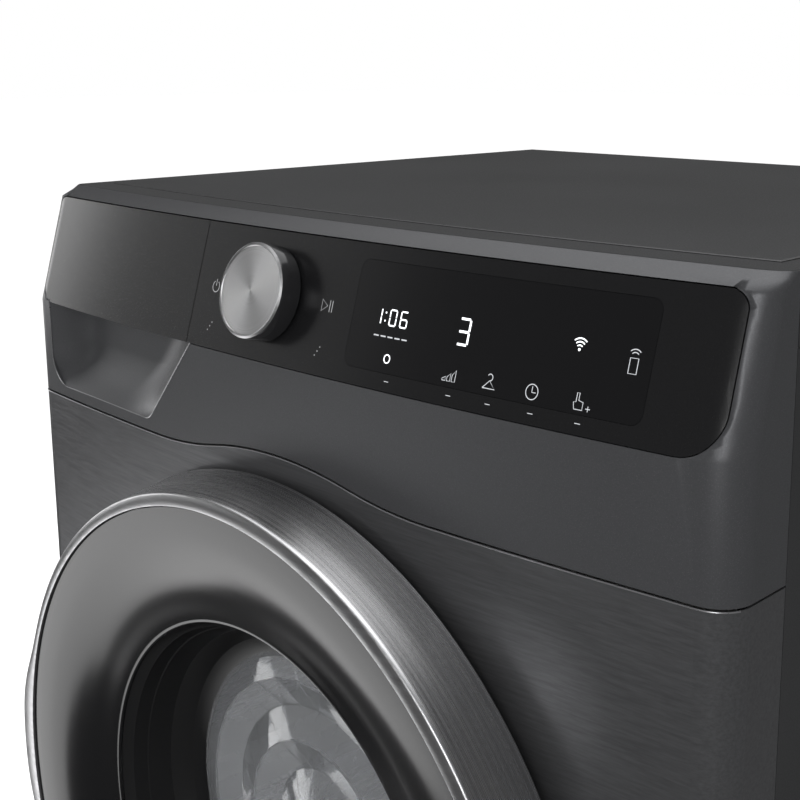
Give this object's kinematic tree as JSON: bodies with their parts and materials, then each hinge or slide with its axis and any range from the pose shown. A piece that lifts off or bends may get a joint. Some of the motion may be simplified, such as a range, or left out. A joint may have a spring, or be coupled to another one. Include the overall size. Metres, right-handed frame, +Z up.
{
  "type": "clothes dryer",
  "caption": "Free-standing front-loading heat-pump clothes dryer with round porthole door, bowed front, leaning control panel, selector knob and water-tank drawer.",
  "frame": {"origin": "on the floor under the middle of the bounding box", "axes": "+Z up, the front with the door faces -Y, +X to the right of a person who faces the dryer"},
  "size_m": [0.6, 0.646, 0.85],
  "materials": {
    "cabinet_paint": "satin dark grey paint",
    "front_steel": "dark horizontally brushed steel",
    "fascia_plastic": "dark metallic flake plastic",
    "panel_gloss": "satin-gloss near-black panel",
    "window_smoke": "smoked display window",
    "knob_metal": "spun brushed dark aluminium",
    "ring_metal": "dark brushed ring with a bright lip",
    "cone_gloss": "deep gloss black",
    "bowl_glass": "smoked moulded glass",
    "inner_plastic": "dark grey moulding",
    "bulkhead_plastic": "light grey moulding",
    "seal_rubber": "soft black seal",
    "felt": "pressed wool felt",
    "drum_steel": "stainless steel",
    "galvanised": "galvanised sheet",
    "zinc_steel": "zinc plated steel",
    "tray_plastic": "black moulding",
    "foot_rubber": "black rubber",
    "belt_rubber": "ribbed rubber belt",
    "fin_aluminium": "bare fin stock",
    "black_paint": "black enamel",
    "copper": "bare copper",
    "tank_plastic": "frosted light plastic",
    "circuit_green": "circuit board in its tray",
    "filter_plastic": "blue-grey filter frame with mesh",
    "wheel_nylon": "natural nylon",
    "pump_plastic": "black pump moulding",
    "hose_rubber": "grey hose"
  },
  "bodies": {
    "cabinet": {"base_tray": "tray_plastic", "side_panel_left": "cabinet_paint", "side_panel_right": "cabinet_paint", "rear_panel": "galvanised", "rear_duct_cover": "galvanised", "top_cover": "cabinet_paint", "front_panel": "front_steel", "fascia": "fascia_plastic", "control_panel": "panel_gloss", "display_window": "window_smoke", "control_board": "circuit_green", "front_bulkhead": "bulkhead_plastic", "roller_axles": "zinc_steel", "mouth_seal": "seal_rubber", "drum_felt_rings": "felt", "hinge_brackets": "zinc_steel", "door_lock": "inner_plastic", "drum_bearing": "zinc_steel", "motor_housing": "galvanised", "blower_housing": "bulkhead_plastic", "drum_belt": "belt_rubber", "tension_spring": "zinc_steel", "compressor": "black_paint", "evaporator": "fin_aluminium", "condenser": "fin_aluminium", "refrigerant_pipes": "copper", "exchanger_cover": "inner_plastic", "condensate_pump": "pump_plastic", "drain_hose": "hose_rubber", "tank_housing": "bulkhead_plastic", "drain_spigot": "pump_plastic", "mains_inlet": "tray_plastic", "cabinet_screws": "zinc_steel"},
    "door": {"door_ring": "ring_metal", "door_cone": "cone_gloss", "door_glass": "bowl_glass", "door_inner_frame": "inner_plastic", "latch_hook": "zinc_steel", "door_hinge_mount": "zinc_steel", "hinge_pins": "zinc_steel"},
    "drum": {"drum_shell": "drum_steel", "drum_lifters": "bulkhead_plastic", "drum_shaft": "zinc_steel"},
    "motor_rotor": {"motor_shaft": "zinc_steel", "blower_wheel": "tray_plastic"},
    "tensioner": {"tensioner_arm": "zinc_steel"},
    "idler": {"idler_pulley": "wheel_nylon"},
    "roller_l": {"roller_left": "wheel_nylon"},
    "roller_r": {"roller_right": "wheel_nylon"},
    "knob": {"knob_cap": "knob_metal", "knob_spindle": "zinc_steel"},
    "tank_drawer": {"tank_front": "panel_gloss", "water_tank": "tank_plastic"},
    "flap": {"service_flap": "front_steel"},
    "filter": {"lint_filter": "filter_plastic"},
    "plunger": {"switch_plunger": "wheel_nylon"},
    "foot_fl": {"foot_front_left": "foot_rubber"},
    "foot_fr": {"foot_front_right": "foot_rubber"},
    "foot_rl": {"foot_rear_left": "foot_rubber"},
    "foot_rr": {"foot_rear_right": "foot_rubber"}
  },
  "joints": [
    {"name": "door_hinge", "type": "hinge", "parent": "cabinet", "child": "door", "pos_m": [0.226, -0.299, 0.456], "axis": [0, 0, 1], "range_deg": [0, 140]},
    {"name": "drum_spin", "type": "hinge", "parent": "cabinet", "child": "drum", "pos_m": [0, 0, 0.508], "axis": [0, 1, 0], "continuous": true},
    {"name": "motor_spin", "type": "hinge", "parent": "cabinet", "child": "motor_rotor", "pos_m": [0.185, 0, 0.112], "axis": [0, 1, 0], "continuous": true},
    {"name": "tensioner_pivot", "type": "hinge", "parent": "cabinet", "child": "tensioner", "pos_m": [0.11, 0.122, 0.07], "axis": [0, 1, 0], "range_deg": [-3, 8], "stiffness_Nm_per_rad": 2, "deforming": ["drum_belt", "tension_spring"]},
    {"name": "idler_spin", "type": "hinge", "parent": "tensioner", "child": "idler", "pos_m": [0.078, 0.15, 0.15], "axis": [0, 1, 0], "continuous": true},
    {"name": "roller_left_spin", "type": "hinge", "parent": "cabinet", "child": "roller_l", "pos_m": [-0.17397, -0.208, 0.25955], "axis": [0, 1, 0], "continuous": true},
    {"name": "roller_right_spin", "type": "hinge", "parent": "cabinet", "child": "roller_r", "pos_m": [0.17397, -0.208, 0.25955], "axis": [0, 1, 0], "continuous": true},
    {"name": "knob_turn", "type": "hinge", "parent": "cabinet", "child": "knob", "pos_m": [-0.014, -0.26667, 0.807], "axis": [0, -0.9585, 0.285], "continuous": true},
    {"name": "tank_slide", "type": "slide", "parent": "cabinet", "child": "tank_drawer", "axis": [0, -1, 0], "range_m": [0, 0.3]},
    {"name": "flap_hinge", "type": "hinge", "parent": "cabinet", "child": "flap", "pos_m": [-0.1065, -0.2725, 0.13], "axis": [0, 0, 1], "range_deg": [0, 55]},
    {"name": "filter_lift", "type": "slide", "parent": "cabinet", "child": "filter", "axis": [0, 0, 1], "range_m": [0, 0.012]},
    {"name": "switch_press", "type": "slide", "parent": "cabinet", "child": "plunger", "axis": [0, 1, 0], "range_m": [0, 0.0015], "stiffness_N_per_m": 200},
    {"name": "foot_front_left_screw", "type": "slide", "parent": "cabinet", "child": "foot_fl", "axis": [0, 0, -1], "range_m": [0, 0.012]},
    {"name": "foot_front_right_screw", "type": "slide", "parent": "cabinet", "child": "foot_fr", "axis": [0, 0, -1], "range_m": [0, 0.012]},
    {"name": "foot_rear_left_screw", "type": "slide", "parent": "cabinet", "child": "foot_rl", "axis": [0, 0, -1], "range_m": [0, 0.012]},
    {"name": "foot_rear_right_screw", "type": "slide", "parent": "cabinet", "child": "foot_rr", "axis": [0, 0, -1], "range_m": [0, 0.012]}
  ],
  "couplings": [
    {"joint": "motor_spin", "follows": "drum_spin", "ratio": 23.167},
    {"joint": "idler_spin", "follows": "drum_spin", "ratio": 15.444},
    {"joint": "roller_left_spin", "follows": "drum_spin", "ratio": -11.12},
    {"joint": "roller_right_spin", "follows": "drum_spin", "ratio": -11.12}
  ]
}
